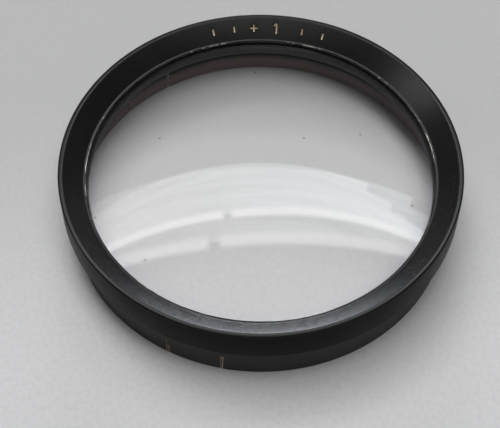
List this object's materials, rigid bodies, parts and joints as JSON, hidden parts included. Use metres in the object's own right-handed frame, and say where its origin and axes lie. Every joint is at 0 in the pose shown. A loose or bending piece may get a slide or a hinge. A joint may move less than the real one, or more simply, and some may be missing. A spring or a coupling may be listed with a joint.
{
  "type": "slip-on close-up lens",
  "caption": "Slip-on close-up lens: weak positive meniscus in a black coned cell, held by a notched retaining ring, on a slit spring collar that slips over a lens barrel.",
  "frame": {"origin": "on the optical axis at the mouth of the spring collar, which rests on the table", "axes": "+Z along the optical axis, out of the front towards the subject; -Y towards the first spring tongue's side; the engraved power mark is at +Y"},
  "size_m": [0.053, 0.053, 0.0106],
  "materials": {
    "cell_lacquer": "gloss black lacquer on brass, worn to metal on edges",
    "crown_glass": "polished, single coated",
    "ring_black": "matte black",
    "collar_lacquer": "satin black lacquer on brass"
  },
  "bodies": {
    "mount": {"lens_cell": "cell_lacquer", "spring_collar": "collar_lacquer"},
    "glass": {"lens_element": "crown_glass"},
    "ring": {"retaining_ring": "ring_black"},
    "tongue_1": {"spring_tongue_1": "collar_lacquer"},
    "tongue_2": {"spring_tongue_2": "collar_lacquer"},
    "tongue_3": {"spring_tongue_3": "collar_lacquer"}
  },
  "joints": [
    {"name": "glass_travel", "type": "slide", "parent": "mount", "child": "glass", "axis": [0, 0, -1], "range_m": [0, 0.0015]},
    {"name": "ring_turn", "type": "hinge", "parent": "glass", "child": "ring", "pos_m": [0, 0, 0.0061], "axis": [0, 0, -1], "range_deg": [0, 1080]},
    {"name": "tongue_1_flex", "type": "hinge", "parent": "mount", "child": "tongue_1", "pos_m": [-0.00846, -0.0239, 0.003], "axis": [-0.9426, 0.3338, 0], "range_deg": [0, 2.5], "stiffness_Nm_per_rad": 0.2},
    {"name": "tongue_2_flex", "type": "hinge", "parent": "mount", "child": "tongue_2", "pos_m": [0.02493, 0.00462, 0.003], "axis": [0.1822, -0.9833, 0], "range_deg": [0, 2.5], "stiffness_Nm_per_rad": 0.2},
    {"name": "tongue_3_flex", "type": "hinge", "parent": "mount", "child": "tongue_3", "pos_m": [-0.01646, 0.01928, 0.003], "axis": [0.7604, 0.6494, 0], "range_deg": [0, 2.5], "stiffness_Nm_per_rad": 0.2}
  ],
  "couplings": [
    {"joint": "glass_travel", "follows": "ring_turn", "m_per_rad": 0.000079577}
  ]
}
